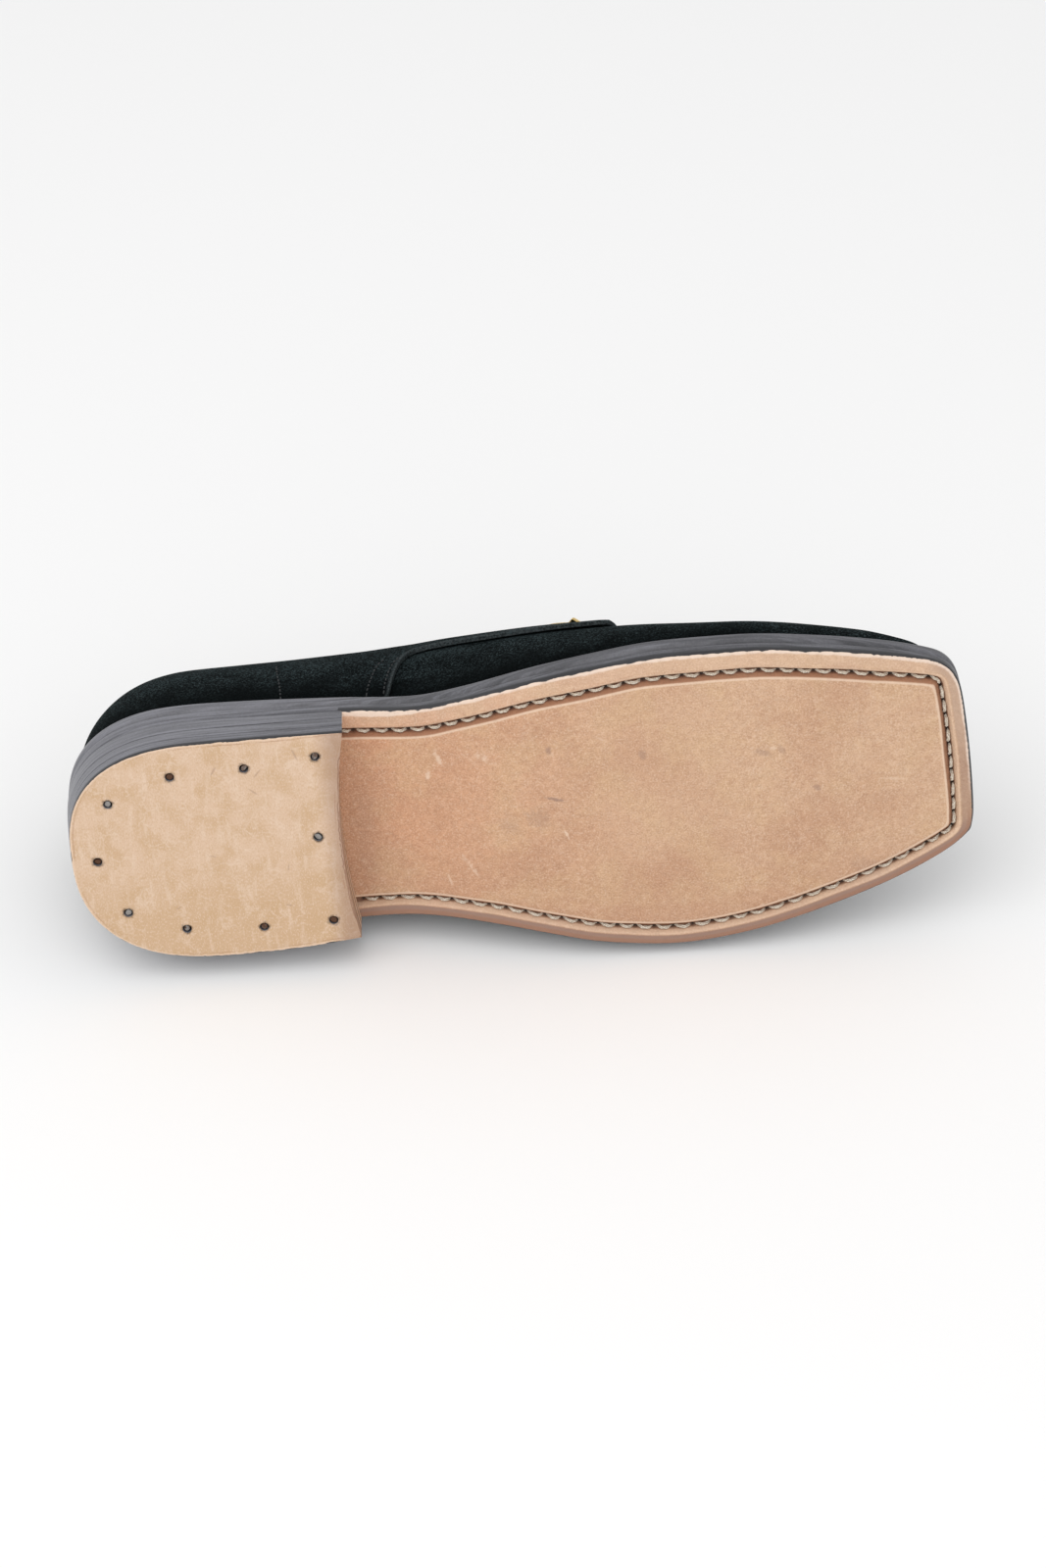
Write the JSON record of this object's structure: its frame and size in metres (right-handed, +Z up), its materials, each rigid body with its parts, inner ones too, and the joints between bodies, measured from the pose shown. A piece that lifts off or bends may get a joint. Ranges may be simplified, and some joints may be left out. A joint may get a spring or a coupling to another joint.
{
  "type": "baroque latchet shoe",
  "caption": "Left square-toed baroque shoe in black suede, with buckled latchets, a channel-stitched leather sole and a low nailed heel, lying on its outer side.",
  "frame": {"origin": "on the ground under the middle of the shoe's bounding box, the shoe lying on its outer side", "axes": "+X from heel to toe, -Y the way the sole faces, +Z up from the outer side to the inner side"},
  "size_m": [0.2964, 0.1034, 0.1072],
  "materials": {
    "tread_leather": "natural tan sole leather with a fine grain",
    "lift_leather": "bare, fibrous heel leather",
    "black_edge": "black-dyed and burnished leather edge",
    "black_suede": "black suede with a short nap",
    "lining_leather": "smooth undyed lining leather",
    "brass": "polished yellow brass",
    "iron": "dull iron with spots of rust"
  },
  "bodies": {
    "root": {"outsole": "tread_leather", "midsole": "black_edge", "insole": "lining_leather", "heel_lift_lower": "black_edge", "heel_lift_upper": "black_edge", "top_lift": "lift_leather", "heel_nail_01": "iron", "heel_nail_02": "iron", "heel_nail_03": "iron", "heel_nail_04": "iron", "heel_nail_05": "iron", "heel_nail_06": "iron", "heel_nail_07": "iron", "heel_nail_08": "iron", "heel_nail_09": "iron", "heel_nail_10": "iron", "upper": "black_suede", "tongue": "black_suede", "quarter_inner": "black_suede", "quarter_outer": "black_suede", "buckle_frame": "brass", "buckle_bar": "brass", "buckle_prong_1": "brass", "buckle_prong_2": "brass"}
  },
  "joints": []
}
